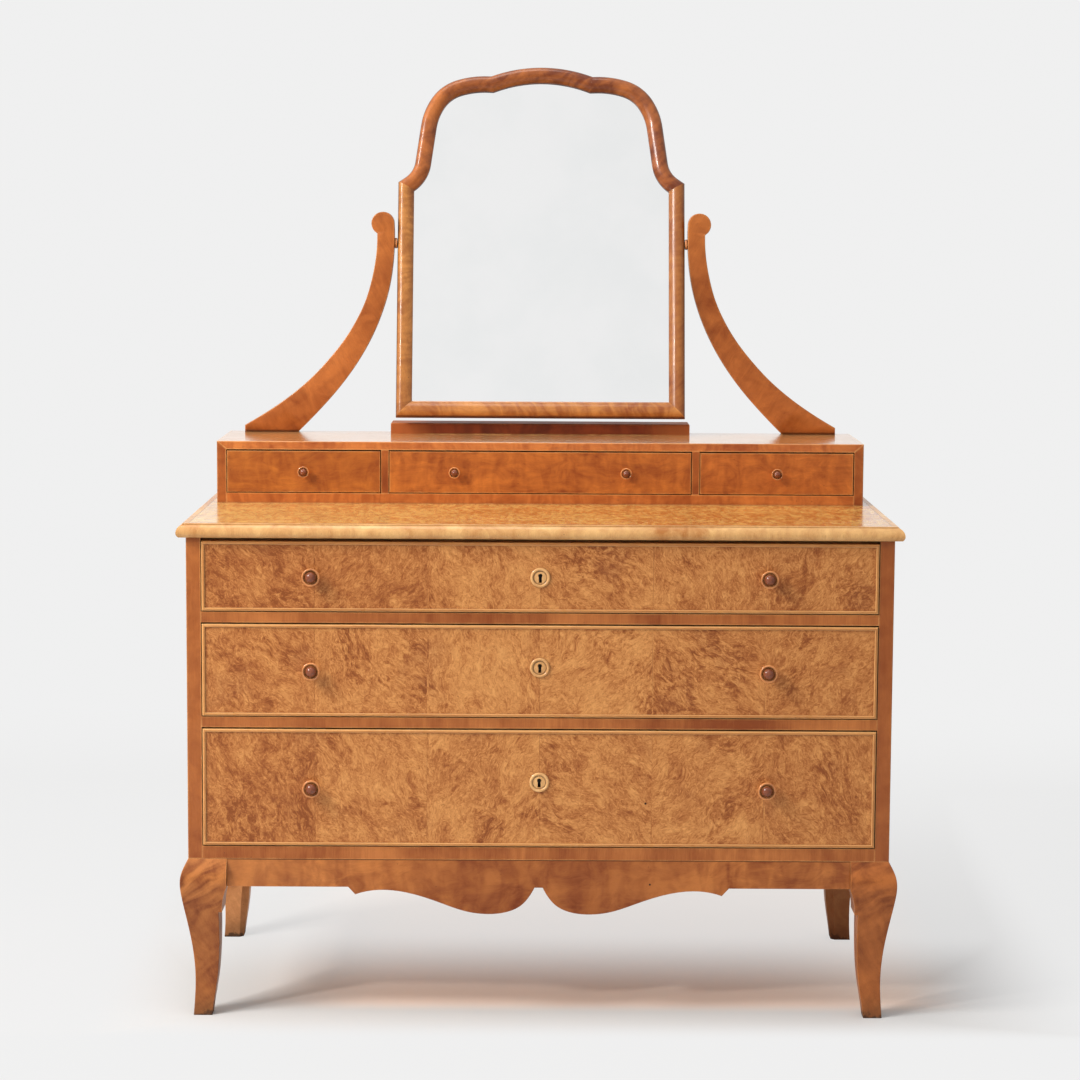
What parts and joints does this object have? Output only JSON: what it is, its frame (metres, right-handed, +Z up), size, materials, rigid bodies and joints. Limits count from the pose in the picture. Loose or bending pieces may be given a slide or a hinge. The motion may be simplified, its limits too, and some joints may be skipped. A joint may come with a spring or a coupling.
{
  "type": "dresser with mirror",
  "caption": "birch dressing chest with long drawers on curved legs, a low unit of small drawers on top and a framed mirror tilting between curved supports",
  "frame": {"origin": "centre of the overall bounding box in plan, on the floor under the soles", "axes": "+X to the right seen from the front, +Y from the front to the back, +Z up"},
  "size_m": [1.12, 0.6388, 1.5019],
  "materials": {
    "burl_birch": "satin burl birch veneer",
    "flamed_birch": "satin flamed birch veneer",
    "stained_birch": "satin stained birch",
    "edging_birch": "satin cross-figured birch",
    "bead_birch": "satin pale birch",
    "frame_birch": "satin birch moulding",
    "turned_wood": "polished turned wood",
    "carcase_pine": "bare softwood",
    "drawer_pine": "planed bare wood",
    "mirror_glass": "silvered flat glass",
    "lock_steel": "dull worn steel",
    "bolt_brass": "worn brass"
  },
  "bodies": {
    "case": {"front_leg_left": "stained_birch", "front_leg_right": "stained_birch", "back_legs": "stained_birch", "front_apron": "stained_birch", "base_rails": "carcase_pine", "bottom_rail": "stained_birch", "drawer_rails": "stained_birch", "top_rail": "carcase_pine", "case_sides": "stained_birch", "case_bottom": "carcase_pine", "case_back": "carcase_pine", "drawer_runners": "carcase_pine", "main_top": "stained_birch", "top_edging": "edging_birch", "upper_top": "stained_birch", "upper_sides": "stained_birch", "upper_rail": "stained_birch", "upper_floor": "carcase_pine", "upper_dividers": "stained_birch", "upper_back": "carcase_pine", "mirror_ledge": "stained_birch", "support_left": "stained_birch", "support_right": "stained_birch", "pivot_pins": "turned_wood"},
    "mirror": {"mirror_bottom_rail": "frame_birch", "mirror_stiles": "frame_birch", "mirror_shoulders": "frame_birch", "mirror_crest": "frame_birch", "mirror_glass": "mirror_glass", "mirror_backboard": "carcase_pine"},
    "bottom_drawer": {"bottom_drawer_front": "burl_birch", "bottom_drawer_bead": "bead_birch", "bottom_drawer_box": "drawer_pine", "bottom_drawer_knobs": "turned_wood", "bottom_escutcheon": "bead_birch", "bottom_lock": "lock_steel"},
    "bottom_bolt": {"bottom_lock_bolt": "bolt_brass"},
    "middle_drawer": {"middle_drawer_front": "burl_birch", "middle_drawer_bead": "bead_birch", "middle_drawer_box": "drawer_pine", "middle_drawer_knobs": "turned_wood", "middle_escutcheon": "bead_birch", "middle_lock": "lock_steel"},
    "middle_bolt": {"middle_lock_bolt": "bolt_brass"},
    "top_drawer": {"top_drawer_front": "burl_birch", "top_drawer_bead": "bead_birch", "top_drawer_box": "drawer_pine", "top_drawer_knobs": "turned_wood", "top_escutcheon": "bead_birch", "top_lock": "lock_steel"},
    "top_bolt": {"top_lock_bolt": "bolt_brass"},
    "small_drawer_left": {"small_drawer_left_front": "flamed_birch", "small_drawer_left_box": "drawer_pine", "small_drawer_left_knob": "turned_wood"},
    "small_drawer_middle": {"small_drawer_middle_front": "flamed_birch", "small_drawer_middle_box": "drawer_pine", "small_drawer_middle_knobs": "turned_wood"},
    "small_drawer_right": {"small_drawer_right_front": "flamed_birch", "small_drawer_right_box": "drawer_pine", "small_drawer_right_knob": "turned_wood"}
  },
  "joints": [
    {"name": "bottom_drawer_slide", "type": "slide", "parent": "case", "child": "bottom_drawer", "axis": [0, -1, 0], "range_m": [0, 0.38]},
    {"name": "middle_drawer_slide", "type": "slide", "parent": "case", "child": "middle_drawer", "axis": [0, -1, 0], "range_m": [0, 0.38]},
    {"name": "top_drawer_slide", "type": "slide", "parent": "case", "child": "top_drawer", "axis": [0, -1, 0], "range_m": [0, 0.38]},
    {"name": "small_drawer_left_slide", "type": "slide", "parent": "case", "child": "small_drawer_left", "axis": [0, -1, 0], "range_m": [0, 0.16]},
    {"name": "small_drawer_middle_slide", "type": "slide", "parent": "case", "child": "small_drawer_middle", "axis": [0, -1, 0], "range_m": [0, 0.16]},
    {"name": "small_drawer_right_slide", "type": "slide", "parent": "case", "child": "small_drawer_right", "axis": [0, -1, 0], "range_m": [0, 0.16]},
    {"name": "mirror_tilt", "type": "hinge", "parent": "case", "child": "mirror", "pos_m": [0, 0.23559, 1.2015], "axis": [-1, 0, 0], "range_deg": [-60, 60]},
    {"name": "bottom_bolt_slide", "type": "slide", "parent": "bottom_drawer", "child": "bottom_bolt", "axis": [0, 0, 1], "range_m": [0, 0.007]},
    {"name": "middle_bolt_slide", "type": "slide", "parent": "middle_drawer", "child": "middle_bolt", "axis": [0, 0, 1], "range_m": [0, 0.007]},
    {"name": "top_bolt_slide", "type": "slide", "parent": "top_drawer", "child": "top_bolt", "axis": [0, 0, 1], "range_m": [0, 0.007]}
  ]
}
